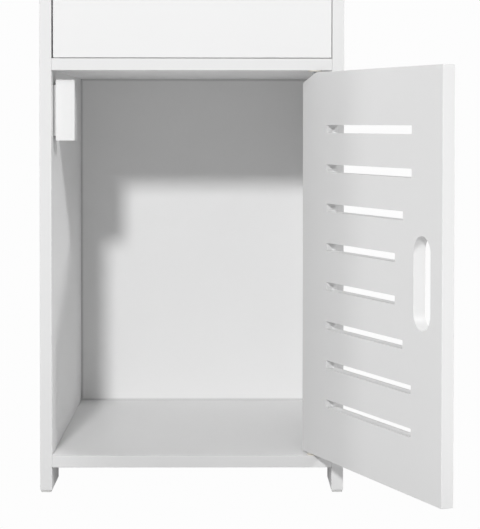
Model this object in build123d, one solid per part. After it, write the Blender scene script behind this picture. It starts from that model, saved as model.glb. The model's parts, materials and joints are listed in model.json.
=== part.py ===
"""Narrow bathroom floor cabinet: louvred door, drawer above it, 12 mm moulded board throughout.

Origin: centre of the footprint, on the floor, in line with the front edges. +X is to the right,
+Y to the back, +Z up. The front of the cabinet faces -Y. The door stands open.
"""
from build123d import *
import os

# ---- boards and overall sizes (mm) ----
board = 12.0                    # thickness of every structural board
edge_radius = 0.6               # softened board edges
inner_width = 280.0             # between the side panels
compartment_depth = 328.0       # front edges to the face of the back panel
compartment_height = 386.0      # bottom panel to divider
drawer_opening_height = 153.0   # divider to top panel
floor_clearance = 25.0          # floor to the underside of the bottom panel
foot_length = 64.0              # front-to-back length of each foot
notch_radius = 3.0              # inner corners between the feet
pad_thickness = 2.0             # glides under the feet
pad_margin = 0.8

# ---- back panel ----
back_thickness = 5.0
back_groove_depth = 5.0
back_groove_clearance = 0.25
rear_margin = 10.0              # boards carry on behind the back panel

# ---- door ----
door_thickness = 12.0
door_set_back = 0.0             # closed door's face behind the front edges
door_gap = 2.0                  # hinge and free edges, top and bottom
door_open_angle = 113.0         # stored pose
pivot_from_edge = 15.0
pin_radius = 2.5
pin_length = 22.0
pin_depth_in_door = 15.0
pin_running_clearance = 0.05
bush_outer_radius = 4.5
bush_flange_radius = 7.0
bush_flange_thickness = 0.8
pin_end_gap = 0.5                # pin tip to the floor of its bush
bush_floor = 0.6
washer_outer_radius = 6.0
washer_running_gap = 0.3        # washer to the lower bush

slot_count = 8
slot_height = 8.0
slot_pitch = 38.5
slot_start = 54.0               # from the hinge edge
slot_length_long = 168.5
slot_length_medium = 153.0
slot_length_short = 138.5
slot_end_radius = 1.0
hand_hole_width = 29.7
hand_hole_length = 83.5
hand_hole_from_edge = 34.8      # door: centre line to the free edge
corner_cut_length = 31.0        # top corner on the hinge side, along the top edge
corner_cut_height = 10.0

# ---- door stop in the top corner of the compartment ----
stop_width = 19.0
stop_height = 61.5
stop_depth = 24.0
stop_front_gap = 0.3            # behind the closed door
stop_top_gap = 9.0              # under the divider
stop_spacer_thickness = 3.0
stop_spacer_margin = 5.0
stop_corner_radius = 0.8

# ---- drawer ----
front_gap_left = 1.6
front_gap_right = 0.6
front_gap_bottom = 0.6
front_gap_top = 2.0
drawer_side_gap = 1.0           # drawer box to side panel, each side
drawer_rear_gap = 18.0          # drawer box to the back panel
drawer_box_top_gap = 23.0       # drawer box to the top panel
drawer_box_bottom_gap = 12.0    # divider to the drawer box
drawer_bottom_thickness = 5.0
drawer_bottom_rise = 7.0        # lower edge of the box to the drawer bottom
drawer_bottom_groove = 5.0
drawer_bottom_clearance = 0.2
runner_height = 12.0
runner_proud = 7.0              # runner thickness, out from the side panel
runner_gap = 0.4                # runner to the groove in the drawer side, all round
runner_front_stop = 8.0         # blind length of groove behind the drawer front
runner_rear_gap = 6.0           # runner end to the back panel

# ---- fasteners ----
screw_shank_radius = 2.0
screw_head_radius = 3.6
screw_head_height = 2.4
carcass_screw_length = 45.0
small_screw_length = 16.0
small_shank_radius = 1.4
small_head_radius = 2.8
small_head_height = 1.6
back_screw_length = 22.0
box_screw_length = 30.0         # drawer side into drawer back
recess_radius = 1.1             # drive recess in each screw head
recess_depth = 1.0
cap_radius = 6.5
cap_thickness = 1.4
cap_edge_radius = 0.6
joint_screw_inset = 55.0        # from the front edge and from the back panel
dowel_radius = 3.0
dowel_length = 20.0
dowel_depth_in_face = 7.5       # into the face of a 12 mm board
cam_radius = 6.0
cam_depth = 9.5
cam_drop = 24.0                 # joint to cam centre
cam_slot_length = 8.4
cam_slot_width = 1.4
cam_slot_depth = 1.2
cam_bolt_radius = 2.4
cam_bolt_thread = 8.0
cam_inset = 40.0
dowel_from_cam = 32.0

# ---- levels and planes worked out from the sizes above ----
half_inner = inner_width / 2
half_outer = half_inner + board
overall_depth = compartment_depth + back_thickness + rear_margin
bottom_low = floor_clearance
bottom_high = bottom_low + board
divider_low = bottom_high + compartment_height
divider_high = divider_low + board
top_low = divider_high + drawer_opening_height
top_high = top_low + board
back_front = compartment_depth
back_rear = back_front + back_thickness

door_low = bottom_high + door_gap
door_high = divider_low - door_gap
door_height = door_high - door_low
door_middle = (door_low + door_high) / 2
door_hinge_x = half_inner - door_gap
door_free_x = -half_inner + door_gap
door_front = door_set_back
door_rear = door_front + door_thickness
pivot_x = door_hinge_x - pivot_from_edge
pivot_y = door_front + door_thickness / 2
washer_thickness = door_gap - bush_flange_thickness - washer_running_gap

box_low = divider_high + drawer_box_bottom_gap
box_high = top_low - drawer_box_top_gap
box_height = box_high - box_low
box_front = board
box_rear = compartment_depth - drawer_rear_gap
box_half = half_inner - drawer_side_gap
runner_middle = (box_low + box_high) / 2
front_low = divider_high + front_gap_bottom
front_high = top_low - front_gap_top


def block(x0, x1, y0, y1, z0, z1):
    """Plain box between two corners."""
    middle = ((x0 + x1) / 2, (y0 + y1) / 2, (z0 + z1) / 2)
    return Pos(*middle) * Box(x1 - x0, y1 - y0, z1 - z0)


def soft_board(x0, x1, y0, y1, z0, z1, radius=edge_radius):
    """Board with softened edges."""
    solid = block(x0, x1, y0, y1, z0, z1)
    return fillet(solid.edges(), radius)


def rod(start, direction, radius, length):
    """Cylinder that starts at a point and runs along a direction."""
    return Plane(origin=start, z_dir=direction) * extrude_disc(radius, length)


def extrude_disc(radius, length):
    """Cylinder standing on the local origin."""
    return Pos(0, 0, length / 2) * Cylinder(radius, length)


def screw(head, direction, length, shank, head_radius, head_height):
    """Countersunk screw: head face at a point, shank along a direction, with a drive recess."""
    cone = Pos(0, 0, head_height / 2) * Cone(head_radius, shank, head_height)
    body = cone + Pos(0, 0, head_height) * extrude_disc(shank, length - head_height)
    body -= extrude_disc(recess_radius, recess_depth)
    return Plane(origin=head, z_dir=direction) * body


def screw_hole(head, direction, length, shank, head_radius, head_height):
    """The room one screw takes up."""
    cone = Pos(0, 0, head_height / 2) * Cone(head_radius, shank, head_height)
    body = cone + Pos(0, 0, head_height) * extrude_disc(shank, length - head_height)
    return Plane(origin=head, z_dir=direction) * body


def carcass_screw(head, direction):
    return screw(head, direction, carcass_screw_length,
                 screw_shank_radius, screw_head_radius, screw_head_height)


def carcass_screw_hole(head, direction):
    return screw_hole(head, direction, carcass_screw_length,
                      screw_shank_radius, screw_head_radius, screw_head_height)


def small_screw(head, direction, length=small_screw_length):
    return screw(head, direction, length, small_shank_radius, small_head_radius, small_head_height)


def small_screw_hole(head, direction, length=small_screw_length):
    return screw_hole(head, direction, length,
                      small_shank_radius, small_head_radius, small_head_height)


def cut_all(solid, tools):
    for tool in tools:
        solid -= tool
    return solid


def one_part(solids):
    """Separate solids that are kept together in one node."""
    return Compound(children=[shape for item in solids for shape in item.solids()])


# ---- where the fasteners sit ----
joint_depths = (joint_screw_inset, compartment_depth - joint_screw_inset)
joint_levels = (bottom_low + board / 2, divider_low + board / 2)
joint_screws = [((side * half_outer, y, z), (-side, 0, 0))
                for side in (-1, 1) for z in joint_levels for y in joint_depths]
cam_depths = (cam_inset, compartment_depth - cam_inset)
top_dowel_depths = (cam_depths[0] + dowel_from_cam, cam_depths[1] - dowel_from_cam)
panel_middle = half_inner + board / 2

back_screw_xs = (-inner_width / 3, 0.0, inner_width / 3)
back_screws = [((x, back_rear, divider_low + board / 2), (0, -1, 0)) for x in back_screw_xs]

stop_front = door_rear + stop_front_gap
stop_rear = stop_front + stop_depth
stop_left = -half_inner + stop_spacer_thickness
stop_right = stop_left + stop_width
stop_high = divider_low - stop_top_gap
stop_low = stop_high - stop_height
stop_screw_bite = 8.4           # length of screw in the side panel
stop_screw_length = stop_width + stop_spacer_thickness + stop_screw_bite
stop_screws = [((stop_right, (stop_front + stop_rear) / 2 + 1.0, z), (-1, 0, 0))
               for z in (stop_low + stop_height / 4, stop_high - stop_height / 4)]

runner_front = box_front + runner_front_stop
runner_rear = back_front - runner_rear_gap
runner_screw_depths = (runner_front + 20.0, (runner_front + runner_rear) / 2, runner_rear - 20.0)
runner_screws = [((side * (half_inner - runner_proud), y, runner_middle), (side, 0, 0))
                 for side in (-1, 1) for y in runner_screw_depths]


# ---- carcass ----
def back_groove():
    """Room for the back panel in the boards around it."""
    reach = back_groove_depth
    return block(-half_inner - reach, half_inner + reach,
                 back_front - back_groove_clearance, back_rear + back_groove_clearance,
                 bottom_high - reach, top_low + reach)


def side_panel(side):
    """Full-height side with two feet; side is -1 for left, 1 for right."""
    inner = side * half_inner
    outer = side * half_outer
    low, high = min(inner, outer), max(inner, outer)
    panel = block(low, high, 0, overall_depth, pad_thickness, top_low)
    notch = block(low, high, foot_length, overall_depth - foot_length,
                  pad_thickness - 1, floor_clearance)
    roof_edges = notch.edges().filter_by(Axis.X).group_by(Axis.Z)[-1]
    panel -= fillet(roof_edges, notch_radius)
    sharp = [e for e in panel.edges() if e.geom_type == GeomType.LINE]
    panel = fillet(sharp, edge_radius)
    panel -= back_groove()
    holes = [carcass_screw_hole(*s) for s in joint_screws]
    holes += [small_screw_hole(p, d) for p, d in runner_screws]
    if side < 0:
        holes += [small_screw_hole(p, d, stop_screw_length) for p, d in stop_screws]
    holes += [cam_lock_room(side, y) for y in cam_depths]
    holes += [cam_bolt(side, y) for y in cam_depths]
    holes += [top_dowel(side, y) for y in top_dowel_depths]
    return cut_all(panel, holes)


def level_board(low, high):
    """Board that lies between the side panels."""
    return soft_board(-half_inner, half_inner, 0, back_front - back_groove_clearance, low, high)


def bottom_panel():
    panel = soft_board(-half_inner, half_inner, 0, overall_depth, bottom_low, bottom_high)
    panel -= back_groove()
    holes = [carcass_screw_hole(*s) for s in joint_screws] + [bush_room(-1)]
    return cut_all(panel, holes)


def divider_panel():
    panel = level_board(divider_low, divider_high)
    holes = [carcass_screw_hole(*s) for s in joint_screws] + [bush_room(1)]
    holes += [small_screw_hole(p, d, back_screw_length) for p, d in back_screws]
    return cut_all(panel, holes)


def top_panel():
    panel = soft_board(-half_outer, half_outer, 0, overall_depth, top_low, top_high)
    panel -= back_groove()
    holes = [cam_bolt(side, y) for side in (-1, 1) for y in cam_depths]
    holes += [top_dowel(side, y) for side in (-1, 1) for y in top_dowel_depths]
    return cut_all(panel, holes)


def back_panel():
    """Thin sheet held in grooves on all four edges."""
    reach = back_groove_depth - back_groove_clearance
    sheet = block(-half_inner - reach, half_inner + reach, back_front, back_rear,
                  bottom_high - reach, top_low + reach)
    return cut_all(sheet, [small_screw_hole(p, d, back_screw_length) for p, d in back_screws])


def foot_pads():
    """One glide under each foot."""
    pads = []
    for side in (-1, 1):
        inner = side * (half_inner + pad_margin)
        outer = side * (half_outer - pad_margin)
        for y in (0, overall_depth - foot_length):
            pads.append(block(min(inner, outer), max(inner, outer),
                              y + pad_margin, y + foot_length - pad_margin, 0, pad_thickness))
    return one_part(pads)


def screw_caps():
    """Thin domed cover over each carcass screw."""
    caps = []
    for (x, y, z), direction in joint_screws:
        disc = extrude_disc(cap_radius, cap_thickness)
        disc = fillet(disc.edges().sort_by(Axis.Z)[-1], cap_edge_radius)
        outward = tuple(-c for c in direction)
        caps.append(Plane(origin=(x, y, z), z_dir=outward) * disc)
    return one_part(caps)


# ---- fittings of the top panel ----
def cam_centre(side, y):
    return (side * half_inner, y, top_low - cam_drop)


def cam_lock_room(side, y):
    return rod(cam_centre(side, y), (side, 0, 0), cam_radius, cam_depth)


def cam_bolt_length():
    return cam_drop - cam_radius / 2


def cam_bolt(side, y):
    """Bolt that screws into the top panel and reaches down into the cam."""
    stem = cam_bolt_thread + cam_bolt_length()
    return rod((side * panel_middle, y, top_low + cam_bolt_thread), (0, 0, -1), cam_bolt_radius, stem)


def cam_lock(side, y):
    """Round cam, flush with the inner face, with a screwdriver slot."""
    cam = cam_lock_room(side, y) - cam_bolt(side, y)
    x = side * half_inner
    far = x + side * cam_slot_depth
    middle_z = top_low - cam_drop
    slot = block(min(x, far), max(x, far), y - cam_slot_length / 2, y + cam_slot_length / 2,
                 middle_z - cam_slot_width / 2, middle_z + cam_slot_width / 2)
    return cam - slot


def top_dowel(side, y):
    start = (side * panel_middle, y, top_low + dowel_depth_in_face)
    return rod(start, (0, 0, -1), dowel_radius, dowel_length)


# ---- pivots: end is -1 for the bottom pivot, 1 for the top one ----
def pivot_face(end):
    """Level of the carcass board that holds this pivot's bush."""
    return divider_low if end > 0 else bottom_high


def door_end(end):
    return door_high if end > 0 else door_low


def pin_reach():
    return pin_length - pin_depth_in_door - door_gap


def bush_room(end):
    return rod((pivot_x, pivot_y, pivot_face(end)), (0, 0, end),
               bush_outer_radius, pin_reach() + pin_end_gap + bush_floor)


def pivot_bush(end):
    """Flanged nylon bush let into the board, with a thin flange on its face."""
    bush = bush_room(end)
    bush += rod((pivot_x, pivot_y, pivot_face(end)), (0, 0, -end),
                bush_flange_radius, bush_flange_thickness)
    hole_start = (pivot_x, pivot_y, pivot_face(end) - end * bush_flange_thickness)
    hole = rod(hole_start, (0, 0, end), pin_radius + pin_running_clearance,
               bush_flange_thickness + pin_reach() + pin_end_gap)
    return bush - hole


def pivot_pin(end):
    start = (pivot_x, pivot_y, door_end(end) - end * pin_depth_in_door)
    pin = rod(start, (0, 0, end), pin_radius, pin_length)
    tip = pin.edges().sort_by(Axis.Z)[-1 if end > 0 else 0]
    return chamfer(tip, pin_radius / 4)


def pivot_washer():
    """Washer that carries the door on the lower pin."""
    ring = rod((pivot_x, pivot_y, door_low), (0, 0, -1), washer_outer_radius, washer_thickness)
    return ring - rod((pivot_x, pivot_y, door_low), (0, 0, -1), pin_radius, washer_thickness)


def swing(shape):
    """Turn something made in the closed position to the stored, open pose."""
    return Pos(pivot_x, pivot_y, 0) * Rot(0, 0, door_open_angle) * Pos(-pivot_x, -pivot_y, 0) * shape


# ---- door ----
def slot_length(index):
    """Slots shorten towards the middle of the door, to leave room for the hand-hole."""
    from_middle = abs(index - (slot_count - 1) / 2)
    if from_middle < 1:
        return slot_length_short
    if from_middle < 2:
        return slot_length_medium
    return slot_length_long


def front_opening(x_middle, z_middle, width, height, corner, thickness, front):
    """Straight-through opening with rounded corners in an upright board."""
    outline = Plane.XZ * RectangleRounded(width, height, corner)
    cutter = extrude(outline, amount=thickness + 2, both=True)
    return Pos(x_middle, front + thickness / 2, z_middle) * cutter


def corner_cut():
    """Wedge taken off the door's top corner on the hinge side."""
    margin = 2.0
    outline = Polygon((door_hinge_x - corner_cut_length, door_high),
                      (door_hinge_x - corner_cut_length, door_high + margin),
                      (door_hinge_x + margin, door_high + margin),
                      (door_hinge_x + margin, door_high - corner_cut_height),
                      (door_hinge_x, door_high - corner_cut_height), align=None)
    cutter = extrude(Plane.XZ * outline, amount=door_thickness + margin, both=True)
    return Pos(0, pivot_y, 0) * cutter


def door_panel():
    panel = soft_board(door_free_x, door_hinge_x, door_front, door_rear, door_low, door_high)
    panel -= corner_cut()
    for index in range(slot_count):
        z = door_middle + (index - (slot_count - 1) / 2) * slot_pitch
        length = slot_length(index)
        x = door_hinge_x - slot_start - length / 2
        panel -= front_opening(x, z, length, slot_height, slot_end_radius, door_thickness, door_front)
    round_end = hand_hole_width / 2 - 0.01
    panel -= front_opening(door_free_x + hand_hole_from_edge, door_middle, hand_hole_width,
                           hand_hole_length, round_end, door_thickness, door_front)
    for end in (-1, 1):
        panel -= pivot_pin(end)
    return swing(panel)


# ---- door stop ----
def stop_block():
    body = soft_board(stop_left, stop_right, stop_front, stop_rear, stop_low, stop_high,
                      stop_corner_radius)
    return cut_all(body, [small_screw_hole(p, d, stop_screw_length) for p, d in stop_screws])


def stop_spacer():
    """Packing piece that holds the block off the side panel."""
    plate = block(-half_inner, stop_left, stop_front + stop_spacer_margin,
                  stop_rear - stop_spacer_margin / 2,
                  stop_low + stop_spacer_margin, stop_high - stop_spacer_margin)
    return cut_all(plate, [small_screw_hole(p, d, stop_screw_length) for p, d in stop_screws])


# ---- drawer and its runners ----
def drawer_runner(side):
    """Batten on the side panel that the grooved drawer side rides on."""
    inner = side * (half_inner - runner_proud)
    outer = side * half_inner
    strip = soft_board(min(inner, outer), max(inner, outer), runner_front, runner_rear,
                       runner_middle - runner_height / 2, runner_middle + runner_height / 2)
    return cut_all(strip, [small_screw_hole(p, d) for p, d in runner_screws])


def drawer_front():
    left = -half_inner + front_gap_left
    right = half_inner - front_gap_right
    panel = soft_board(left, right, 0, box_front, front_low, front_high)
    round_end = hand_hole_width / 2 - 0.01
    middle_z = (front_low + front_high) / 2
    panel -= front_opening((left + right) / 2, middle_z, hand_hole_length, hand_hole_width,
                           round_end, board, 0)
    return cut_all(panel, [bottom_sheet_room()] + [front_dowel(*place) for place in dowel_places])


def box_side_limits(side):
    outer = side * box_half
    inner = side * (box_half - board)
    return min(inner, outer), max(inner, outer)


def drawer_side(side):
    """Drawer side, grooved for its runner and for the bottom sheet."""
    low, high = box_side_limits(side)
    panel = soft_board(low, high, box_front, box_rear, box_low, box_high)
    groove_bottom = side * (half_inner - runner_proud - runner_gap)
    groove_mouth = side * (half_inner + 1)
    half_height = runner_height / 2 + runner_gap
    panel -= block(min(groove_bottom, groove_mouth), max(groove_bottom, groove_mouth),
                   runner_front - runner_gap, box_rear + 1,
                   runner_middle - half_height, runner_middle + half_height)
    holes = [bottom_sheet_room()] + [front_dowel(*place) for place in dowel_places]
    holes += [box_screw_hole(*place) for place in box_screw_places]
    return cut_all(panel, holes)


def drawer_back():
    half = box_half - board
    panel = soft_board(-half, half, box_rear - board, box_rear, box_low, box_high)
    holes = [bottom_sheet_room()] + [box_screw_hole(*place) for place in box_screw_places]
    return cut_all(panel, holes)


sheet_low = box_low + drawer_bottom_rise
sheet_high = sheet_low + drawer_bottom_thickness
sheet_half = box_half - board + drawer_bottom_groove
sheet_front = box_front - drawer_bottom_groove
sheet_rear = box_rear - board + drawer_bottom_groove


def bottom_sheet_room():
    c = drawer_bottom_clearance
    return block(-sheet_half - c, sheet_half + c, sheet_front - c, sheet_rear + c,
                 sheet_low, sheet_high + c)


def drawer_bottom():
    return block(-sheet_half, sheet_half, sheet_front, sheet_rear, sheet_low, sheet_high)


dowel_places = [(side, z) for side in (-1, 1)
                for z in (box_low + box_height / 5, box_high - box_height / 5)]


def front_dowel(side, z):
    start = (side * (box_half - board / 2), box_front - dowel_depth_in_face, z)
    return rod(start, (0, 1, 0), dowel_radius, dowel_length)


box_screw_places = dowel_places


def box_screw_head(side, z):
    return (side * box_half, box_rear - board / 2, z)


def box_screw_hole(side, z):
    return small_screw_hole(box_screw_head(side, z), (-side, 0, 0), box_screw_length)


def box_screw(side, z):
    return small_screw(box_screw_head(side, z), (-side, 0, 0), box_screw_length)


def write_all():
    """Build every piece and write one file per node."""
    sides = (-1, 1)
    nodes = {
        "left_side_panel": side_panel(-1),
        "right_side_panel": side_panel(1),
        "bottom_panel": bottom_panel(),
        "divider_panel": divider_panel(),
        "top_panel": top_panel(),
        "back_panel": back_panel(),
        "foot_pads": foot_pads(),
        "carcass_screws": one_part([carcass_screw(*s) for s in joint_screws]),
        "screw_caps": screw_caps(),
        "top_cam_locks": one_part([cam_lock(s, y) for s in sides for y in cam_depths]),
        "top_cam_bolts": one_part([cam_bolt(s, y) for s in sides for y in cam_depths]),
        "top_dowels": one_part([top_dowel(s, y) for s in sides for y in top_dowel_depths]),
        "back_panel_screws": one_part(
            [small_screw(p, d, back_screw_length) for p, d in back_screws]),
        "door_stop_block": stop_block(),
        "door_stop_spacer": stop_spacer(),
        "door_stop_screws": one_part(
            [small_screw(p, d, stop_screw_length) for p, d in stop_screws]),
        "pivot_bush_top": pivot_bush(1),
        "pivot_bush_bottom": pivot_bush(-1),
        "left_drawer_runner": drawer_runner(-1),
        "right_drawer_runner": drawer_runner(1),
        "drawer_runner_screws": one_part([small_screw(p, d) for p, d in runner_screws]),
        "door_panel": door_panel(),
        "pivot_pin_top": swing(pivot_pin(1)),
        "pivot_pin_bottom": swing(pivot_pin(-1)),
        "pivot_washer": swing(pivot_washer()),
        "drawer_front": drawer_front(),
        "drawer_left_side": drawer_side(-1),
        "drawer_right_side": drawer_side(1),
        "drawer_back": drawer_back(),
        "drawer_bottom": drawer_bottom(),
        "drawer_front_dowels": one_part([front_dowel(*place) for place in dowel_places]),
        "drawer_box_screws": one_part([box_screw(*place) for place in box_screw_places]),
    }
    os.makedirs("parts", exist_ok=True)
    for name, shape in nodes.items():
        export_step(shape, f"parts/{name}.step")


write_all()
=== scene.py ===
import json
import math

import bpy
import numpy as np
from bpy.props import FloatProperty, FloatVectorProperty, IntProperty, PointerProperty
from mathutils import Matrix, Vector


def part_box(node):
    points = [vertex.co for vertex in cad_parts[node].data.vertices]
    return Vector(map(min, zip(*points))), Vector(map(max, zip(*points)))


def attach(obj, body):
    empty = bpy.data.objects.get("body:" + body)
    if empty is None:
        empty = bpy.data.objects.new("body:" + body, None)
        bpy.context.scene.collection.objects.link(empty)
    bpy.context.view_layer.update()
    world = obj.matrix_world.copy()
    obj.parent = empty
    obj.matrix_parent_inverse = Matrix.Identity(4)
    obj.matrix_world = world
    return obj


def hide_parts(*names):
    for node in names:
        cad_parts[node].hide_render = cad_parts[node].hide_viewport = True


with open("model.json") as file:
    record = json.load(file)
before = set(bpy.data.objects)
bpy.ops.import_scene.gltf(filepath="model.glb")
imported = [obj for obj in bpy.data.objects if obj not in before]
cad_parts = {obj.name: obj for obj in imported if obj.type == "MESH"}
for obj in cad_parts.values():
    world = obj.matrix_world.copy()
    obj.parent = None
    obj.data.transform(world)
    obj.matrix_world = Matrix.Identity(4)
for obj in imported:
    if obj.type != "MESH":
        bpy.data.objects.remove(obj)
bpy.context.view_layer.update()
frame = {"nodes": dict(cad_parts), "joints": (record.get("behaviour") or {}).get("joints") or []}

bl_info = {
    "name": "Bathroom cabinet finishes",
    "version": (1, 0, 0),
    "blender": (4, 5, 0),
    "location": "3D View > Sidebar > Cabinet",
    "description": "Finishes, fittings and studio for a louvred bathroom floor cabinet",
    "category": "Object",
}

MM = 0.001
LACQUER_IOR = 1.46
SOLID_GAP = 1.0 * MM        # solids of one node stand further apart than this
CREASE_ANGLE = 35.0         # degrees past which an edge is sharp
DOOR_JOINT = next(joint for joint in frame["joints"] if joint["name"] == "door_swing")


# ---------------------------------------------------------------- measuring the frame

def span_labels(low, high, gap):
    """Number the separate runs of spans: sorted by start, a run ends where the next start
    lies further than gap beyond every end so far."""
    order = np.argsort(low)
    reach = np.maximum.accumulate(high[order])
    labels = np.zeros(len(low), int)
    labels[order[1:]] = np.cumsum(low[order][1:] > reach[:-1] + gap)
    return labels


def solid_boxes(node):
    """Corners of each separate solid in a node: its triangles are split wherever their spans
    along X, then Y, then Z leave a gap."""
    mesh = frame["nodes"][node].data
    points = np.empty(len(mesh.vertices) * 3)
    mesh.vertices.foreach_get("co", points)
    mesh.calc_loop_triangles()
    index = np.empty(len(mesh.loop_triangles) * 3, int)
    mesh.loop_triangles.foreach_get("vertices", index)
    corners = points.reshape(-1, 3)[index].reshape(-1, 3, 3)
    low, high = corners.min(1), corners.max(1)
    groups = [np.arange(len(low))]
    for axis in range(3):
        split = []
        for group in groups:
            labels = span_labels(low[group, axis], high[group, axis], SOLID_GAP)
            split += [group[labels == k] for k in range(labels.max() + 1)]
        groups = split
    return [(low[group].min(0), high[group].max(0)) for group in groups]


def end_centre(low, high, axis, side):
    """Centre of a box's face on one side (-1 low, 1 high) of an axis."""
    centre = (low + high) / 2
    centre[axis] = high[axis] if side > 0 else low[axis]
    return centre


# ---------------------------------------------------------------- surfaces

def basis(axis):
    """Right-handed frame whose third direction is the axis; rows are the directions."""
    w = np.asarray(axis, float) / np.linalg.norm(axis)
    helper = np.array([0.0, 0.0, 1.0]) if abs(w[2]) < 0.9 else np.array([1.0, 0.0, 0.0])
    u = np.cross(helper, w)
    u /= np.linalg.norm(u)
    return np.array([u, np.cross(w, u), w])


def placed(points, origin, axis):
    """Points from a local frame with +Z along the axis to the cabinet's frame."""
    return np.asarray(origin) + points @ basis(axis)


def closed_skin(rings):
    """Skin over rings of points, rows along the piece and columns round it, closed at each end
    with a fan to the ring's middle. Returns points, quads and triangles facing outwards."""
    rows, columns = rings.shape[:2]
    ends = np.array([rings[0].mean(0), rings[-1].mean(0)])
    points = np.vstack([rings.reshape(-1, 3), ends])
    row, column = np.meshgrid(np.arange(rows - 1), np.arange(columns), indexing="ij")
    beside = (column + 1) % columns
    here, right = row * columns + column, row * columns + beside
    quads = np.stack([here, right, right + columns, here + columns], -1).reshape(-1, 4)
    around = np.arange(columns)
    onward = (around + 1) % columns
    first, last = rows * columns, rows * columns + 1
    base = (rows - 1) * columns
    start_fan = np.stack([np.full(columns, first), onward, around], -1)
    end_fan = np.stack([np.full(columns, last), base + around, base + onward], -1)
    return points, quads, np.vstack([start_fan, end_fan])


def turned_rings(radius, height, segments):
    """Turned shape: radius and height, given per row or per row and column, are carried round
    the Z axis, so a point is (r cos a, r sin a, z)."""
    angle = np.linspace(0, 2 * np.pi, segments, endpoint=False)
    radius = np.broadcast_to(radius if np.ndim(radius) == 2 else np.asarray(radius)[:, None],
                             (len(radius), segments))
    height = np.broadcast_to(height if np.ndim(height) == 2 else np.asarray(height)[:, None],
                             (len(height), segments))
    return np.stack([radius * np.cos(angle), radius * np.sin(angle), height], -1)


def cross_recess(radius, angle, arm, half_width, depth):
    """Depth of a cross-shaped drive recess: two crossed bars, each a product of two ramps that
    fall to nothing at the bar's end and side, deepest in the middle."""
    x, y = radius * np.cos(angle), radius * np.sin(angle)
    ramp = half_width * 0.6     # width over which a bar's end and side fall away
    end_rise = 0.45             # how much shallower a bar is at its end

    def bar(along, across):
        end = np.clip((arm - np.abs(along)) / ramp, 0, 1)
        side = np.clip((half_width - np.abs(across)) / ramp, 0, 1)
        return end * side

    cross = np.maximum(bar(x, y), bar(y, x))
    return depth * cross * (1 - end_rise * np.clip(radius / arm, 0, 1))


def screw_rings(head_radius, shank_radius, head_height, length, pitch, segments):
    """Countersunk screw along +Z with its head face at 0. Rows cross the head face, which dips
    by the cross recess, go down the cone, and follow the thread: the radius is the core plus a
    triangular ridge whose phase is height over pitch less angle over a turn. A cone ends it."""
    angle = np.linspace(0, 2 * np.pi, segments, endpoint=False)
    arm, bar_half, recess = head_radius * 0.62, head_radius * 0.19, head_height * 0.8
    face_radius = np.linspace(0.04, 1.0, 16) * (head_radius - 0.12 * MM)
    face_depth = cross_recess(face_radius[:, None], angle, arm, bar_half, recess)
    cone_height = np.array([0.10 * MM, 0.25 * MM, head_height])
    below_rim = np.interp(cone_height[1], [0, head_height], [head_radius, shank_radius])
    cone_radius = np.array([head_radius - 0.05 * MM, below_rim, shank_radius])
    tip = shank_radius * 1.8
    rows_per_turn = 6
    height = np.arange(head_height + 0.3 * MM, length - 0.05 * MM, pitch / rows_per_turn)
    phase = height[:, None] / pitch - angle / (2 * np.pi)
    ridge = 1 - 2 * np.abs(phase - np.floor(phase) - 0.5)
    thread_start = head_height + (length - head_height) * 0.15
    begin = np.clip((height - thread_start) / pitch, 0, 1)[:, None]
    point = np.clip((length - height) / tip, 0.06, 1)[:, None]
    core, plain = shank_radius * 0.72, shank_radius * 0.92
    ridged = core + (shank_radius - core) * ridge ** 0.7
    thread = ridged * begin + plain * (1 - begin)
    rows_radius = [np.broadcast_to(face_radius[:, None], face_depth.shape),
                   np.broadcast_to(cone_radius[:, None], (3, segments)), thread * point]
    rows_height = [face_depth, np.broadcast_to(cone_height[:, None], (3, segments)),
                   np.broadcast_to(height[:, None], (len(height), segments))]
    return turned_rings(np.vstack(rows_radius), np.vstack(rows_height), segments)


def dowel_rings(radius, length, flutes, flute_depth, segments):
    """Fluted peg along +Z: the radius dips by a raised cosine of the angle, once per flute, and
    both ends are chamfered."""
    chamfer = radius * 0.3
    height = np.concatenate([[0.0], np.linspace(chamfer, length - chamfer, 8), [length]])
    angle = np.linspace(0, 2 * np.pi, segments, endpoint=False)
    dip = flute_depth * (0.5 - 0.5 * np.cos(flutes * angle))
    taper = np.where((height == 0) | (height == length), chamfer, 0.0)[:, None]
    return turned_rings(radius - dip[None, :] - taper, height, segments)


def cap_rings(radius, thickness, segments):
    """Cover cap along +Z: a short upright rim, then a shallow dome with height falling as the
    fourth power of the radius, and a fine moulded ring near its edge."""
    share = np.linspace(1.0, 0.03, 22)
    shoulder, rise = 0.55, 0.45                             # shares of the thickness
    ring_depth, ring_place, ring_width = 0.09 * MM, 0.78, 0.035
    rolled_in = 0.045                                       # share of the radius at the rim
    dome = thickness * (shoulder + rise * (1 - share ** 4))
    ring = ring_depth * np.exp(-((share - ring_place) / ring_width) ** 2)
    dome_radius = radius * (1 - rolled_in * (1 - np.sqrt(np.clip(1 - share ** 12, 0, 1))))
    rows_radius = np.concatenate([[radius * 0.5, radius, radius], dome_radius * share])
    rows_height = np.concatenate([[0.0, 0.0, thickness * 0.35], dome - ring])
    return turned_rings(rows_radius, rows_height, segments)


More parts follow.
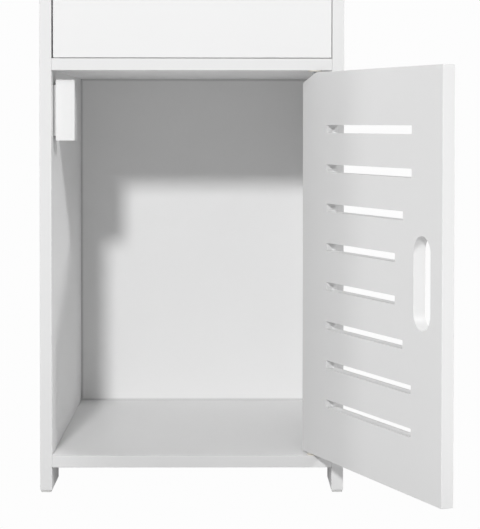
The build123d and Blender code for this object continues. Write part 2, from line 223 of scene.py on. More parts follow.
def pad_rings(low, high, corner, edge, steps):
    """Moulded pad: a rounded rectangle carried through a profile of inset and height. Each
    outline point is a corner centre plus a radius along the angle, less the inset."""
    turn = np.linspace(0, np.pi / 2, steps)
    angle = (np.arange(4)[:, None] * np.pi / 2 + turn).ravel()
    sign_x = np.repeat([1, -1, -1, 1], steps)
    sign_y = np.repeat([1, 1, -1, -1], steps)
    middle, half = (low + high) / 2, (high - low) / 2
    bow = np.linspace(0, np.pi / 2, 5)
    bevel = edge * 0.3
    inset = np.concatenate([edge * (1 - np.sin(bow)), [0.0, bevel]])
    height = np.concatenate([low[2] + edge * (1 - np.cos(bow)), [high[2] - bevel, high[2]]])
    reach = corner - inset[:, None]
    x = middle[0] + sign_x * (half[0] - corner) + reach * np.cos(angle)
    y = middle[1] + sign_y * (half[1] - corner) + reach * np.sin(angle)
    return np.stack([x, y, np.broadcast_to(height[:, None], x.shape)], -1)


def build_piece(name, skins, body, material, stands_for):
    """One object from several closed skins, riding on a body in place of a frame node."""
    points, quads, triangles, offset = [], [], [], 0
    for skin_points, skin_quads, skin_triangles in skins:
        points.append(skin_points)
        quads.append(skin_quads + offset)
        triangles.append(skin_triangles + offset)
        offset += len(skin_points)
    faces = np.vstack(quads).tolist() + np.vstack(triangles).tolist()
    mesh = bpy.data.meshes.new(name)
    mesh.from_pydata(np.vstack(points).tolist(), [], faces)
    mesh.polygons.foreach_set("use_smooth", np.ones(len(faces), bool))
    mesh.set_sharp_from_angle(angle=math.radians(CREASE_ANGLE))
    mesh.materials.append(material)
    piece = bpy.data.objects.new(name, mesh)
    bpy.context.scene.collection.objects.link(piece)
    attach(piece, body)
    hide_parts(stands_for)
    return piece


# ---------------------------------------------------------------- shader building

def add_node(tree, kind, values=None, **settings):
    """Add a shader node, set its properties, then fill or link its inputs."""
    made = tree.nodes.new(kind)
    for key, value in settings.items():
        setattr(made, key, value)
    for key, value in (values or {}).items():
        socket = made.inputs[key]
        if isinstance(value, bpy.types.NodeSocket):
            tree.links.new(value, socket)
        else:
            socket.default_value = value
    return made


def new_group(name, inputs, outputs):
    """Shader node group with named sockets; inputs are (name, kind, default)."""
    tree = bpy.data.node_groups.new(name, "ShaderNodeTree")
    for label, kind, default in inputs:
        socket = tree.interface.new_socket(label, in_out="INPUT", socket_type=kind)
        if default is not None:
            socket.default_value = default
    for label, kind in outputs:
        tree.interface.new_socket(label, in_out="OUTPUT", socket_type=kind)
    start = tree.nodes.new("NodeGroupInput")
    end = tree.nodes.new("NodeGroupOutput")
    return tree, start.outputs, end.inputs


def use_group(tree, group, values):
    """Place a node group, fill or link its inputs, and give its outputs."""
    made = tree.nodes.new("ShaderNodeGroup")
    made.node_tree = group
    for key, value in values.items():
        if isinstance(value, bpy.types.NodeSocket):
            tree.links.new(value, made.inputs[key])
        else:
            made.inputs[key].default_value = value
    return made.outputs


def math_node(tree, operation, first, second=None, third=None):
    """Output of one Math node; each operand is a number or a socket."""
    values = {0: first}
    if second is not None:
        values[1] = second
    if third is not None:
        values[2] = third
    return add_node(tree, "ShaderNodeMath", values, operation=operation).outputs[0]


def noise(tree, vector, scale, detail, roughness):
    """Noise value over a vector."""
    return add_node(tree, "ShaderNodeTexNoise", {
        "Vector": vector, "Scale": scale, "Detail": detail, "Roughness": roughness}).outputs["Fac"]


def peel_group():
    """Sprayed or pressed skin: a soft dimple pattern, a finer grain over it, and slow drift."""
    tree, given, out = new_group("skin_texture", [
        ("Vector", "NodeSocketVector", None), ("Dimple Scale", "NodeSocketFloat", 420.0),
        ("Grain Scale", "NodeSocketFloat", 2600.0), ("Drift Scale", "NodeSocketFloat", 9.0)],
        [("Height", "NodeSocketFloat"), ("Drift", "NodeSocketFloat"),
         ("Smudge", "NodeSocketFloat")])
    dimples = noise(tree, given["Vector"], given["Dimple Scale"], 1.0, 0.4)
    grain = noise(tree, given["Vector"], given["Grain Scale"], 1.0, 0.5)
    height = math_node(tree, "MULTIPLY_ADD", grain, 0.25, dimples)
    tree.links.new(height, out["Height"])
    tree.links.new(noise(tree, given["Vector"], given["Drift Scale"], 3.0, 0.55), out["Drift"])
    stretched = add_node(tree, "ShaderNodeMapping", {
        "Vector": given["Vector"], "Scale": (1.0, 1.0, 0.22)}).outputs[0]
    smudge = noise(tree, stretched, 46.0, 4.0, 0.62)
    tree.links.new(smudge, out["Smudge"])
    return tree


def edge_group():
    """Nearness to the edges of a box, from inside or outside it: for each axis the distance
    to the nearer face is taken without its sign, and the middle of the three distances is the
    distance to the nearest arris."""
    tree, given, out = new_group("board_edges", [
        ("Vector", "NodeSocketVector", None), ("Low", "NodeSocketVector", None),
        ("High", "NodeSocketVector", None), ("Width", "NodeSocketFloat", 0.002)],
        [("Mask", "NodeSocketFloat"), ("Depth", "NodeSocketFloat")])
    above = add_node(tree, "ShaderNodeVectorMath", {0: given["Vector"], 1: given["Low"]},
                     operation="SUBTRACT").outputs[0]
    below = add_node(tree, "ShaderNodeVectorMath", {0: given["High"], 1: given["Vector"]},
                     operation="SUBTRACT").outputs[0]
    nearer = add_node(tree, "ShaderNodeVectorMath", {0: above, 1: below},
                      operation="MINIMUM").outputs[0]
    away = add_node(tree, "ShaderNodeVectorMath", {0: nearer}, operation="ABSOLUTE").outputs[0]
    x, y, z = add_node(tree, "ShaderNodeSeparateXYZ", {0: away}).outputs
    low_pair = math_node(tree, "MINIMUM", x, y)
    high_pair = math_node(tree, "MAXIMUM", x, y)
    middle = math_node(tree, "MAXIMUM", low_pair, math_node(tree, "MINIMUM", high_pair, z))
    share = math_node(tree, "DIVIDE", middle, given["Width"])
    mask = math_node(tree, "SUBTRACT", 1.0, share)
    clamped = add_node(tree, "ShaderNodeClamp", {"Value": mask}).outputs[0]
    tree.links.new(clamped, out["Mask"])
    depth = add_node(tree, "ShaderNodeSeparateXYZ", {0: above}).outputs[1]
    tree.links.new(depth, out["Depth"])
    return tree


def tint_group():
    """A colour that drifts a little lighter and darker with a mask."""
    tree, given, out = new_group("tone_drift", [
        ("Colour", "NodeSocketColor", (0.8, 0.8, 0.8, 1)), ("Mask", "NodeSocketFloat", 0.5),
        ("Amount", "NodeSocketFloat", 0.02)], [("Colour", "NodeSocketColor")])
    centred = math_node(tree, "SUBTRACT", given["Mask"], 0.5)
    factor = math_node(tree, "MULTIPLY_ADD", centred, given["Amount"], 1.0)
    scaled = add_node(tree, "ShaderNodeVectorMath", {0: given["Colour"], "Scale": factor},
                      operation="SCALE").outputs[0]
    tree.links.new(scaled, out["Colour"])
    return tree


def new_material(name):
    """Material with one Principled shader on its output."""
    material = bpy.data.materials.new(name)
    material.use_nodes = True
    tree = material.node_tree
    tree.nodes.clear()
    shader = tree.nodes.new("ShaderNodeBsdfPrincipled")
    output = tree.nodes.new("ShaderNodeOutputMaterial")
    tree.links.new(shader.outputs[0], output.inputs[0])
    return material, tree, shader


def object_vector(tree, centre=(0, 0, 0), turn=0.0):
    """Object coordinates, taken about a centre and turned about Z."""
    place = tree.nodes.new("ShaderNodeTexCoord").outputs["Object"]
    moved = add_node(tree, "ShaderNodeMapping", {
        "Vector": place, "Location": tuple(-c for c in centre)}).outputs[0]
    if not turn:
        return moved
    return add_node(tree, "ShaderNodeMapping", {
        "Vector": moved, "Rotation": (0.0, 0.0, turn)}).outputs[0]


def bump(tree, height, depth):
    """Normal of a height that stands up by depth."""
    return add_node(tree, "ShaderNodeBump", {
        "Height": height, "Distance": depth, "Strength": 1.0}).outputs[0]


def rgba(colour):
    return (*colour, 1.0)


# how far roughness wanders, from end to end
BOARD_WIPING, PLASTIC_WIPING, METAL_UNEVEN = 0.16, 0.14, 0.2
EDGE_POLISH = 0.06              # roughness lost at a handled arris
BARE_BEECH_ROUGHNESS = 0.62


def board_material(name, groups, finish, low, high, face, edge, centre=(0, 0, 0), turn=0.0,
                   joint_shade=None):
    """Satin white board: fine sprayed skin, arrises slightly polished by handling and painted
    lighter as a highlight, faint wiping marks in the gloss, and its front edge in a darker tone
    of its own, which is painted shade. Where the corners of the room it closes are given, a thin
    line of painted shade is laid along them in the joint."""
    material, tree, shader = new_material(name)
    vector = object_vector(tree, centre, turn)
    skin = use_group(tree, groups["skin"], {"Vector": vector})
    edges = use_group(tree, groups["edges"], {
        "Vector": vector, "Low": low, "High": high, "Width": finish.edge_width})
    # Painted shade: a thin layer at the front of the board takes the darker edge colour.
    front = math_node(tree, "LESS_THAN", edges["Depth"], finish.shaded_front_depth)
    plain = add_node(tree, "ShaderNodeMix", {
        "Factor": front, 6: rgba(face), 7: rgba(edge)}, data_type="RGBA").outputs[2]
    tone = use_group(tree, groups["tint"], {
        "Colour": plain, "Mask": skin["Drift"], "Amount": finish.tone_drift})
    # Painted highlight: the arrises are made lighter in colour.
    lit_and_shaded_tone = use_group(tree, groups["tint"], {
        "Colour": tone["Colour"],
        "Mask": math_node(tree, "MULTIPLY_ADD", edges["Mask"], 0.5, 0.5),
        "Amount": finish.edge_highlight})
    # Painted shade: a thin darker line along the joints of the room the board closes.
    if joint_shade:
        line = use_group(tree, groups["edges"], {
            "Vector": vector, "Low": joint_shade[0], "High": joint_shade[1], "Width": finish.joint_shade_width})["Mask"]
        lit_and_shaded_tone = use_group(tree, groups["tint"], {
            "Colour": lit_and_shaded_tone["Colour"],
            "Mask": math_node(tree, "MULTIPLY_ADD", line, 0.5, 0.5),
            "Amount": -finish.joint_shade_darkness})
    tree.links.new(lit_and_shaded_tone["Colour"], shader.inputs["Base Color"])
    smudged = math_node(tree, "MULTIPLY_ADD", skin["Smudge"], BOARD_WIPING,
                        finish.board_roughness - BOARD_WIPING / 2)
    rough = math_node(tree, "MULTIPLY_ADD", edges["Mask"], -EDGE_POLISH, smudged)
    tree.links.new(rough, shader.inputs["Roughness"])
    tree.links.new(bump(tree, skin["Height"], finish.skin_depth), shader.inputs["Normal"])
    shader.inputs["IOR"].default_value = LACQUER_IOR
    return material


def moulded_material(name, groups, colour, roughness, grain_scale, depth):
    """Moulded plastic: fine spark texture and a slight drift in tone."""
    material, tree, shader = new_material(name)
    vector = object_vector(tree)
    skin = use_group(tree, groups["skin"], {
        "Vector": vector, "Dimple Scale": grain_scale, "Grain Scale": grain_scale * 3,
        "Drift Scale": 60.0})
    tone = use_group(tree, groups["tint"], {
        "Colour": rgba(colour), "Mask": skin["Drift"], "Amount": 0.05})
    tree.links.new(tone["Colour"], shader.inputs["Base Color"])
    rough = math_node(tree, "MULTIPLY_ADD", skin["Smudge"], PLASTIC_WIPING,
                      roughness - PLASTIC_WIPING / 2)
    tree.links.new(rough, shader.inputs["Roughness"])
    tree.links.new(bump(tree, skin["Height"], depth), shader.inputs["Normal"])
    return material


def plated_material(name, groups, colour, roughness):
    """Plated or cast metal: spangled tone and faint turning marks."""
    material, tree, shader = new_material(name)
    vector = object_vector(tree)
    skin = use_group(tree, groups["skin"], {
        "Vector": vector, "Dimple Scale": 900.0, "Grain Scale": 3800.0, "Drift Scale": 240.0})
    tone = use_group(tree, groups["tint"], {
        "Colour": rgba(colour), "Mask": skin["Drift"], "Amount": 0.22})
    tree.links.new(tone["Colour"], shader.inputs["Base Color"])
    rough = math_node(tree, "MULTIPLY_ADD", skin["Drift"], METAL_UNEVEN,
                      roughness - METAL_UNEVEN / 2)
    tree.links.new(rough, shader.inputs["Roughness"])
    tree.links.new(bump(tree, skin["Height"], 0.006 * MM), shader.inputs["Normal"])
    shader.inputs["Metallic"].default_value = 1.0
    return material


def timber_material(name, groups, colour):
    """Bare beech: long grain streaks with short darker flecks along the peg."""
    material, tree, shader = new_material(name)
    vector = object_vector(tree)
    stretched = add_node(tree, "ShaderNodeMapping", {
        "Vector": vector, "Scale": (1.0, 1.0, 0.12)}).outputs[0]
    streak = noise(tree, stretched, 900.0, 3.0, 0.6)
    fleck = noise(tree, stretched, 2600.0, 1.0, 0.5)
    tone = use_group(tree, groups["tint"], {
        "Colour": rgba(colour), "Mask": streak, "Amount": 0.55})
    flecked = use_group(tree, groups["tint"], {
        "Colour": tone["Colour"], "Mask": fleck, "Amount": 0.3})
    tree.links.new(flecked["Colour"], shader.inputs["Base Color"])
    shader.inputs["Roughness"].default_value = BARE_BEECH_ROUGHNESS
    tree.links.new(bump(tree, streak, 0.03 * MM), shader.inputs["Normal"])
    return material


def texture_groups():
    """The shared node groups, built once."""
    makers = {"skin": ("skin_texture", peel_group), "edges": ("board_edges", edge_group),
              "tint": ("tone_drift", tint_group)}
    return {key: bpy.data.node_groups.get(name) or maker() for key, (name, maker) in makers.items()}


def give(node, material):
    """Put one finish on a frame node."""
    slots = frame["nodes"][node].data.materials
    slots.clear()
    slots.append(material)


# ---------------------------------------------------------------- settings

class CabinetFinish(bpy.types.PropertyGroup):
    board_colour: FloatVectorProperty(name="Board", description="Colour of the carcass boards",
                                      subtype="COLOR", size=3, min=0, max=1,
                                      default=(0.88, 0.88, 0.88))
    # Painted shade: darker copy of the board's white for the front edges.
    shaded_edge_colour: FloatVectorProperty(name="Front edges", description="Colour of the front edges",
                                     subtype="COLOR", size=3, min=0, max=1,
                                     default=(0.69, 0.69, 0.69))
    # Painted shade: darker copy of the board's white for the lowest edge.
    shaded_sill_colour: FloatVectorProperty(name="Lowest edge", description="Colour of the lowest edge",
                                     subtype="COLOR", size=3, min=0, max=1,
                                     default=(0.69, 0.69, 0.69))
    # Painted shade: darker copy of the board's white for the door.
    shaded_door_colour: FloatVectorProperty(name="Door", description="Colour of the door",
                                     subtype="COLOR", size=3, min=0, max=1,
                                     default=(0.715, 0.715, 0.715))
    # Painted shade: darker copy of the board's white for the drawer front.
    shaded_drawer_colour: FloatVectorProperty(name="Drawer front", description="Colour of its front",
                                       subtype="COLOR", size=3, min=0, max=1,
                                       default=(0.735, 0.735, 0.735))
    plastic_colour: FloatVectorProperty(name="Plastic", description="Caps and door stop",
                                        subtype="COLOR", size=3, min=0, max=1,
                                        default=(0.72, 0.72, 0.72))
    glide_colour: FloatVectorProperty(name="Glides", description="Pads under the feet",
                                      subtype="COLOR", size=3, min=0, max=1,
                                      default=(0.62, 0.62, 0.61))
    runner_colour: FloatVectorProperty(name="Runners", description="Drawer battens",
                                       subtype="COLOR", size=3, min=0, max=1,
                                       default=(0.78, 0.78, 0.76))
    nylon_colour: FloatVectorProperty(name="Nylon", description="Pivot bushes and washer",
                                      subtype="COLOR", size=3, min=0, max=1,
                                      default=(0.80, 0.77, 0.70))
    zinc_colour: FloatVectorProperty(name="Zinc plate", description="Screws, pins and bolts",
                                     subtype="COLOR", size=3, min=0, max=1,
                                     default=(0.62, 0.63, 0.65))
    cast_colour: FloatVectorProperty(name="Cast zinc", description="Cam locks",
                                     subtype="COLOR", size=3, min=0, max=1,
                                     default=(0.52, 0.52, 0.53))
    beech_colour: FloatVectorProperty(name="Beech", description="Dowels",
                                      subtype="COLOR", size=3, min=0, max=1,
                                      default=(0.60, 0.43, 0.27))
    board_roughness: FloatProperty(name="Board roughness", description="Satin of the board",
                                   min=0, max=1, default=0.46)
    tone_drift: FloatProperty(name="Tone drift", description="Slow change in the board's tone",
                              min=0, max=0.2, default=0.02)
    edge_width: FloatProperty(name="Edge width", description="Width of the handled arrises",
                              subtype="DISTANCE", unit="LENGTH", default=2.2 * MM)
    # Painted highlight: how much lighter the arrises are painted.
    edge_highlight: FloatProperty(name="Edge lift", description="How much lighter the arrises are",
                             min=0, max=0.2, default=0.03)
    # Painted shade: width and darkness of the line painted in the back panel's joints.
    joint_shade_width: FloatProperty(name="Seam width", description="Width of the line in the joints",
                              subtype="DISTANCE", unit="LENGTH", precision=5, default=3.0 * MM)
    joint_shade_darkness: FloatProperty(name="Seam darkness", description="How dark the joints' line is",
                             min=0, max=1, default=0.75)
    # Painted shade: depth of the darker front edge tone.
    shaded_front_depth: FloatProperty(name="Front depth", description="Depth of the front edge's tone",
                               subtype="DISTANCE", unit="LENGTH", precision=5, default=0.7 * MM)
    skin_depth: FloatProperty(name="Skin depth", description="Depth of the sprayed texture",
                              subtype="DISTANCE", unit="LENGTH", precision=6, default=0.012 * MM)


class CabinetFittings(bpy.types.PropertyGroup):
    screw_segments: IntProperty(name="Screw segments", description="Facets round a screw",
                                min=16, max=96, default=40)
    thread_pitch: FloatProperty(name="Thread pitch", description="Rise of the thread per turn",
                                subtype="DISTANCE", unit="LENGTH", precision=5, default=1.6 * MM)
    small_pitch: FloatProperty(name="Small pitch", description="Thread pitch of the thin screws",
                               subtype="DISTANCE", unit="LENGTH", precision=5, default=1.1 * MM)
    dowel_flutes: IntProperty(name="Flutes", description="Flutes round a dowel",
                              min=8, max=40, default=18)
    flute_depth: FloatProperty(name="Flute depth", description="Depth of a dowel's flutes",
                               subtype="DISTANCE", unit="LENGTH", precision=5, default=0.25 * MM)
    pad_corner: FloatProperty(name="Glide corner", description="Corner radius of the glides",
                              subtype="DISTANCE", unit="LENGTH", precision=5, default=1.8 * MM)
    pad_edge: FloatProperty(name="Glide edge", description="Rounding of the glides' lower edge",
                            subtype="DISTANCE", unit="LENGTH", precision=5, default=0.7 * MM)


class CabinetStudio(bpy.types.PropertyGroup):
    camera_distance: FloatProperty(name="Camera distance", description="Lens to the front edges",
                                   subtype="DISTANCE", unit="LENGTH", default=1.6271)
    camera_offset: FloatProperty(name="Camera offset", description="Lens to the right of centre",
                                 subtype="DISTANCE", unit="LENGTH", default=0.03585)
    camera_height: FloatProperty(name="Camera height", description="Lens above the floor",
                                 subtype="DISTANCE", unit="LENGTH", default=0.37064)
    camera_yaw: FloatProperty(name="Camera yaw", description="Turn to the right",
                              subtype="ANGLE", unit="ROTATION", default=math.radians(0.432))
    camera_pitch: FloatProperty(name="Camera pitch", description="Tilt down",
                                subtype="ANGLE", unit="ROTATION", default=math.radians(1.45))
    camera_roll: FloatProperty(name="Camera roll", description="Roll of the picture",
                               subtype="ANGLE", unit="ROTATION", default=math.radians(0.058))
    lens: FloatProperty(name="Lens", description="Focal length for a 36 mm long side",
                        min=10, max=400, default=110.90)
    shift_up: FloatProperty(name="Shift", description="Vertical shift, share of the long side",
                            min=-1, max=1, default=-0.1896)
    backdrop: FloatProperty(name="Backdrop", description="Brightness of the white surround",
                            min=0, max=2, default=0.982)
    surround: FloatProperty(name="Surround light", description="Strength of the even soft light",
                            min=0, max=4, default=0.12)
    floor_near: FloatProperty(name="Near floor", description="Light from the floor at the front",
                              min=0, max=4, default=0.5)
    floor_mid: FloatProperty(name="Mid floor", description="Light from the floor further forward",
                             min=0, max=4, default=1.0)
    floor_rest: FloatProperty(name="Rest of floor", description="Light from the floor elsewhere",
                              min=0, max=4, default=0.08)
    key_power: FloatProperty(name="Key", description="Power of the key light",
                             subtype="POWER", unit="POWER", default=161.0)
    fill_power: FloatProperty(name="Fill", description="Power of the light from the right",
                              subtype="POWER", unit="POWER", default=96.0)
    left_power: FloatProperty(name="Left", description="Power of the broad light at the left",
                              subtype="POWER", unit="POWER", default=23.0)
    top_power: FloatProperty(name="High front", description="Power of the broad high light",
                             subtype="POWER", unit="POWER", default=10.5)
    behind_power: FloatProperty(name="Behind", description="Power of the broad light behind",
                                subtype="POWER", unit="POWER", default=50.0)
    rim_power: FloatProperty(name="Rim", description="Power of the strip behind the left side",
                             subtype="POWER", unit="POWER", default=16.0)


# ---------------------------------------------------------------- operators

class PlainOperator(bpy.types.Operator):
    """Shared parts of the cabinet's operators."""
    bl_options = {"REGISTER", "UNDO"}

    @property
    def finish(self):
        return bpy.context.scene.cabinet_finish

    @property
    def fittings(self):
        return bpy.context.scene.cabinet_fittings


FIXED_BOARDS = ("left_side_panel", "right_side_panel", "bottom_panel", "divider_panel",
                "top_panel", "drawer_front", "drawer_left_side", "drawer_right_side",
                "drawer_back", "back_panel", "drawer_bottom")

# Boards whose front edges take the darker edge colour, which is painted shade.
FRONT_SHADED_BOARDS = FIXED_BOARDS[:5]


class CABINET_OT_boards(PlainOperator):
    """Satin white finish on every board of the carcass and the drawer"""
    bl_idname = "cabinet.boards"
    bl_label = "Board finish"

    def execute(self, context):
        groups, finish = texture_groups(), self.finish
        # Painted shade: the front edges, the lowest edge and the drawer front take darker copies of
        # the board's white.
        shade_tones = {node: (finish.board_colour, finish.shaded_edge_colour) for node in FRONT_SHADED_BOARDS}
        shade_tones["bottom_panel"] = (finish.board_colour, finish.shaded_sill_colour)
        shade_tones["drawer_front"] = (finish.shaded_drawer_colour, finish.shaded_drawer_colour)
        for node in FIXED_BOARDS:
            low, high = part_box(node)
            face, edge = shade_tones.get(node, (finish.board_colour, finish.board_colour))
            # Painted shade: the back panel gets a darker line along the compartment's joints.
            joint_shade = self.compartment() if node == "back_panel" else None
            give(node, board_material(f"{node}_finish", groups, finish, low, high, face, edge,
                                      joint_shade=joint_shade))
        return {"FINISHED"}

    def compartment(self):
        """Corners of the room behind the door, between the inner faces of its boards."""
        left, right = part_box("left_side_panel")[1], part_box("right_side_panel")[0]
        floor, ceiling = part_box("bottom_panel")[1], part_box("divider_panel")[0]
        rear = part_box("back_panel")[0][1]
        return (left[0], rear - MM, floor[2]), (right[0], rear + MM, ceiling[2])


class CABINET_OT_door(PlainOperator):
    """Satin white finish on the door, in the door's own turned frame"""
    bl_idname = "cabinet.door"
    bl_label = "Door finish"

    def execute(self, context):
        pivot = DOOR_JOINT["pos_m"]
        closed = math.radians(DOOR_JOINT["range_deg"][0])
        mesh = frame["nodes"]["door_panel"].data
        points = np.empty(len(mesh.vertices) * 3)
        mesh.vertices.foreach_get("co", points)
        points = points.reshape(-1, 3) - (pivot[0], pivot[1], 0)
        cos, sin = math.cos(closed), math.sin(closed)
        turned = np.stack([points[:, 0] * cos - points[:, 1] * sin,
                           points[:, 0] * sin + points[:, 1] * cos, points[:, 2]], -1)
        # Painted shade: the door takes a darker copy of the board's white.
        material = board_material("door_panel_finish", texture_groups(), self.finish,
                                  tuple(turned.min(0)), tuple(turned.max(0)),
                                  self.finish.shaded_door_colour, self.finish.shaded_door_colour,
                                  centre=(pivot[0], pivot[1], 0.0), turn=closed)
        give("door_panel", material)
        return {"FINISHED"}


class CABINET_OT_plastics(PlainOperator):
    """Moulded finishes on the door stop, runners, bushes and washer"""
    bl_idname = "cabinet.plastics"
    bl_label = "Plastic finishes"

    def execute(self, context):
        groups, finish = texture_groups(), self.finish
        stop = moulded_material("stop_finish", groups, finish.plastic_colour,
                                0.42, 1300.0, 0.008 * MM)
        runner = moulded_material("runner_finish", groups, finish.runner_colour,
                                  0.36, 800.0, 0.01 * MM)
        nylon = moulded_material("nylon_finish", groups, finish.nylon_colour,
                                 0.34, 1500.0, 0.008 * MM)
        for node in ("door_stop_block", "door_stop_spacer"):
            give(node, stop)
        for node in ("left_drawer_runner", "right_drawer_runner"):
            give(node, runner)
        for node in ("pivot_bush_top", "pivot_bush_bottom", "pivot_washer"):
            give(node, nylon)
        return {"FINISHED"}


class CABINET_OT_metals(PlainOperator):
    """Zinc finishes on the pins, cam bolts and cam locks"""
    bl_idname = "cabinet.metals"
    bl_label = "Metal finishes"

    def execute(self, context):
        groups = texture_groups()
        zinc = plated_material("zinc_finish", groups, self.finish.zinc_colour, 0.32)
        cast = plated_material("cast_zinc_finish", groups, self.finish.cast_colour, 0.48)
        for node in ("pivot_pin_top", "pivot_pin_bottom", "top_cam_bolts"):
            give(node, zinc)
        give("top_cam_locks", cast)
        return {"FINISHED"}


AWAY, HIGH, INWARD = 0, 1, 2   # heads face away from the middle, up the axis, or inwards

# shank radius and head height, as shares of the head's radius
THIN_SCREW, CARCASS_SCREW = (0.5, 0.57), (0.5556, 0.6667)

# node: (axis of the shank, side its heads face, body, whether it is one of the thin screws)
SCREW_NODES = {
    "carcass_screws": (0, AWAY, "carcass", False),
    "door_stop_screws": (0, HIGH, "carcass", True),
    "drawer_runner_screws": (0, INWARD, "carcass", True),
    "back_panel_screws": (1, HIGH, "carcass", True),
    "drawer_box_screws": (0, AWAY, "drawer", True),
}


class CABINET_OT_screws(PlainOperator):
    """Threaded countersunk screws with a cross recess in place of the plain ones"""
    bl_idname = "cabinet.screws"
    bl_label = "Screws"

    def execute(self, context):
        zinc = bpy.data.materials["zinc_finish"]
        for node, (axis, facing, body, thin) in SCREW_NODES.items():
            skins = [self.screw(low, high, axis, facing, thin) for low, high in solid_boxes(node)]
            build_piece(f"{node}_threaded", skins, body, zinc, node)
        return {"FINISHED"}

    def screw(self, low, high, axis, facing, thin):
        """Skin of one screw in the box of the plain one it stands for."""
        outward = 1 if (low + high)[axis] > 0 else -1
        side = {AWAY: outward, INWARD: -outward}.get(facing, facing)
        head = end_centre(low, high, axis, side)
        across = (axis + 1) % 3
        head_radius = (high - low)[across] / 2
        shank_share, height_share = THIN_SCREW if thin else CARCASS_SCREW
        direction = np.zeros(3)
        direction[axis] = -side
        pitch = self.fittings.small_pitch if thin else self.fittings.thread_pitch
        rings = screw_rings(head_radius, head_radius * shank_share, head_radius * height_share,
                            (high - low)[axis], pitch, self.fittings.screw_segments)
        points, quads, triangles = closed_skin(rings)
        return placed(points, head, direction), quads, triangles


# node, axis of the pegs, body
DOWEL_NODES = (("top_dowels", 2, "carcass"), ("drawer_front_dowels", 1, "drawer"))


class CABINET_OT_dowels(PlainOperator):
    """Fluted beech dowels in place of the plain ones"""
    bl_idname = "cabinet.dowels"
    bl_label = "Dowels"

    def execute(self, context):
        beech = timber_material("beech_finish", texture_groups(), self.finish.beech_colour)
        flutes = self.fittings.dowel_flutes
        for node, axis, body in DOWEL_NODES:
            direction = np.eye(3)[axis]
            skins = []
            for low, high in solid_boxes(node):
                size = high - low
                rings = dowel_rings(size[(axis + 1) % 3] / 2, size[axis], flutes,
                                    self.fittings.flute_depth, flutes * 4)
                points, quads, triangles = closed_skin(rings)
                start = end_centre(low, high, axis, -1)
                skins.append((placed(points, start, direction), quads, triangles))
            build_piece(f"{node}_fluted", skins, body, beech, node)
        return {"FINISHED"}


CAP_SEGMENTS = 48    # facets round a cover cap
CORNER_STEPS = 8     # points round each corner of a glide


class CABINET_OT_caps(PlainOperator):
    """Domed cover caps over the carcass screws"""
    bl_idname = "cabinet.caps"
    bl_label = "Screw caps"

    def execute(self, context):
        finish = moulded_material("cap_finish", texture_groups(), self.finish.plastic_colour,
                                  0.4, 1500.0, 0.006 * MM)
        skins = []
        for low, high in solid_boxes("screw_caps"):
            side = 1 if low[0] > 0 else -1
            rings = cap_rings((high - low)[1] / 2, (high - low)[0], CAP_SEGMENTS)
            points, quads, triangles = closed_skin(rings)
            base = end_centre(low, high, 0, -side)
            skins.append((placed(points, base, (side, 0, 0)), quads, triangles))
        build_piece("screw_caps_domed", skins, "carcass", finish, "screw_caps")
        return {"FINISHED"}


class CABINET_OT_glides(PlainOperator):
    """Moulded glides with rounded lower edges under the feet"""
    bl_idname = "cabinet.glides"
    bl_label = "Glides"

    def execute(self, context):
        finish = moulded_material("glide_finish", texture_groups(), self.finish.glide_colour,
                                  0.55, 900.0, 0.015 * MM)
        corner, edge = self.fittings.pad_corner, self.fittings.pad_edge
        skins = [closed_skin(pad_rings(low, high, corner, edge, CORNER_STEPS))
                 for low, high in solid_boxes("foot_pads")]
        build_piece("foot_glides", skins, "carcass", finish, "foot_pads")
        return {"FINISHED"}


def aim(thing, target):
    """Point a light at a place."""
    thing.rotation_euler = (Vector(target) - thing.location).to_track_quat("-Z", "Y").to_euler()


def area_light(name, location, target, size, power, height):
    """Disc light of a diameter, or a rectangle where there is a height, unseen by the camera."""
    data = bpy.data.lights.new(name, "AREA")
    data.shape = "RECTANGLE" if height else "DISK"
    data.size = size
    if height:
        data.size_y = height
    data.energy = power
    light = bpy.data.objects.new(name, data)
    light.location = location
    aim(light, target)
    light.visible_camera = False
    bpy.context.scene.collection.objects.link(light)


# name: (place, aim, diameter or width, height of a rectangle, power setting), metres
LIGHTS = {
    "key": ((-0.5975, -5.0, 2.358), (0.0, 0.1, 0.3), 0.44, None, "key_power"),
    "fill": ((3.681, -2.748, 3.037), (-0.14, 0.08, 0.27), 0.47, None, "fill_power"),
    "left": ((-2.887, -0.153, 1.076), (0.0, 0.1, 0.3), 1.8, None, "left_power"),
    "high_front": ((0.0, -1.621, 2.757), (0.0, 0.1, 0.3), 1.8, None, "top_power"),
    "behind": ((1.9, 1.7, 1.2), (0.17, -0.1, 0.25), 1.8, None, "behind_power"),
    "rim": ((-2.739, 0.712, 0.55), (0.155, -0.08, 0.25), 0.33, 1.6, "rim_power"),
}


WHITE = (1, 1, 1, 1)
SENSOR_WIDTH = 36.0     # mm
FLOOR_REACH = 6.0       # metres from the middle to the floor's edge

# place along Y in metres and the setting for the floor's glow there, blended between
FLOOR_STEPS = ((-1.65, "floor_rest"), (-1.55, "floor_mid"), (-0.40, "floor_mid"),
               (-0.30, "floor_near"), (0.0, "floor_near"), (0.1, "floor_rest"))


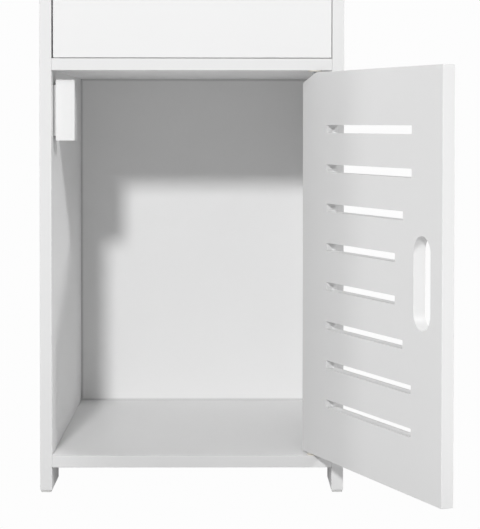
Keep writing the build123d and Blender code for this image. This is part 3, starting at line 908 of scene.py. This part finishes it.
class CABINET_OT_stage(PlainOperator):
    """Camera, white floor and surround, and six area lights"""
    bl_idname = "cabinet.stage"
    bl_label = "Studio"

    def execute(self, context):
        studio = context.scene.cabinet_studio
        self.camera(context.scene, studio)
        self.floor(studio)
        self.surround(context.scene, studio)
        self.lights(studio)
        return {"FINISHED"}

    def camera(self, scene, studio):
        """Camera in front of the cabinet, yawed, pitched and rolled in that order."""
        data = bpy.data.cameras.new("camera")
        data.sensor_fit = "AUTO"
        data.sensor_width = SENSOR_WIDTH
        data.lens = studio.lens
        data.shift_y = studio.shift_up
        data.clip_start, data.clip_end = 0.05, 50.0
        camera = bpy.data.objects.new("camera", data)
        camera.location = (studio.camera_offset, -studio.camera_distance, studio.camera_height)
        turn = (Matrix.Rotation(-studio.camera_yaw, 3, "Z")
                @ Matrix.Rotation(math.pi / 2 - studio.camera_pitch, 3, "X")
                @ Matrix.Rotation(studio.camera_roll, 3, "Z"))
        camera.rotation_euler = turn.to_euler()
        scene.collection.objects.link(camera)
        scene.camera = camera

    def floor(self, studio):
        """White floor that glows in bands along Y, so it lights the cabinet from below."""
        reach = FLOOR_REACH
        mesh = bpy.data.meshes.new("floor")
        mesh.from_pydata([(-reach, -reach, 0), (reach, -reach, 0),
                          (reach, reach, 0), (-reach, reach, 0)], [], [(0, 1, 2, 3)])
        floor = bpy.data.objects.new("floor", mesh)
        bpy.context.scene.collection.objects.link(floor)
        material = bpy.data.materials.new("studio_floor")
        material.use_nodes = True
        tree = material.node_tree
        tree.nodes.clear()
        seen = add_node(tree, "ShaderNodeLightPath").outputs["Is Camera Ray"]
        white = add_node(tree, "ShaderNodeEmission", {
            "Color": WHITE, "Strength": studio.backdrop})
        place = tree.nodes.new("ShaderNodeTexCoord").outputs["Object"]
        forward = add_node(tree, "ShaderNodeSeparateXYZ", {0: place}).outputs[1]
        steps = [(start, getattr(studio, glow)) for start, glow in FLOOR_STEPS]
        strength = steps[0][1]
        for (start, low), (end, high) in zip(steps, steps[1:]):
            rise = add_node(tree, "ShaderNodeMapRange", {
                "Value": forward, "From Min": start, "From Max": end,
                "To Min": 0.0, "To Max": high - low}).outputs[0]
            strength = math_node(tree, "ADD", strength, rise)
        glow = add_node(tree, "ShaderNodeEmission", {"Color": WHITE, "Strength": strength})
        mixed = add_node(tree, "ShaderNodeMixShader", {
            0: seen, 1: glow.outputs[0], 2: white.outputs[0]})
        output = tree.nodes.new("ShaderNodeOutputMaterial")
        tree.links.new(mixed.outputs[0], output.inputs[0])
        mesh.materials.append(material)

    def surround(self, scene, studio):
        """World that is white to the camera and gives an even soft light."""
        world = bpy.data.worlds.new("studio")
        world.use_nodes = True
        tree = world.node_tree
        tree.nodes.clear()
        seen = add_node(tree, "ShaderNodeLightPath").outputs["Is Camera Ray"]
        strength = add_node(tree, "ShaderNodeMix", {"Factor": seen, "A": studio.surround,
                                                    "B": studio.backdrop}).outputs[0]
        background = add_node(tree, "ShaderNodeBackground", {
            "Color": WHITE, "Strength": strength})
        output = tree.nodes.new("ShaderNodeOutputWorld")
        tree.links.new(background.outputs[0], output.inputs[0])
        scene.world = world

    def lights(self, studio):
        """Every light of the table, at the power its setting gives."""
        for name, (place, target, size, height, power) in LIGHTS.items():
            area_light(name, place, target, size, getattr(studio, power), height)


OPERATORS = (CABINET_OT_boards, CABINET_OT_door, CABINET_OT_plastics, CABINET_OT_metals,
             CABINET_OT_screws, CABINET_OT_dowels, CABINET_OT_caps, CABINET_OT_glides,
             CABINET_OT_stage)
SETTINGS = {"cabinet_finish": CabinetFinish, "cabinet_fittings": CabinetFittings,
            "cabinet_studio": CabinetStudio}


class CABINET_PT_panel(bpy.types.Panel):
    """Steps and settings of the cabinet"""
    bl_idname = "CABINET_PT_panel"
    bl_label = "Cabinet"
    bl_space_type = "VIEW_3D"
    bl_region_type = "UI"
    bl_category = "Cabinet"

    def draw(self, context):
        for operator in OPERATORS:
            self.layout.operator(operator.bl_idname)
        for name, group in SETTINGS.items():
            settings = getattr(context.scene, name)
            for key in group.__annotations__:
                self.layout.prop(settings, key)


def register():
    for group in SETTINGS.values():
        bpy.utils.register_class(group)
    for operator in OPERATORS:
        bpy.utils.register_class(operator)
    bpy.utils.register_class(CABINET_PT_panel)
    for name, group in SETTINGS.items():
        setattr(bpy.types.Scene, name, PointerProperty(type=group))


def unregister():
    for name in SETTINGS:
        delattr(bpy.types.Scene, name)
    bpy.utils.unregister_class(CABINET_PT_panel)
    for operator in reversed(OPERATORS):
        bpy.utils.unregister_class(operator)
    for group in SETTINGS.values():
        bpy.utils.unregister_class(group)


def main():
    register()
    scene = bpy.context.scene
    scene.view_settings.view_transform = "Standard"
    scene.view_settings.look = "None"
    for operator in OPERATORS:
        area, name = operator.bl_idname.split(".")
        getattr(getattr(bpy.ops, area), name)()


if __name__ == "__main__":
    main()
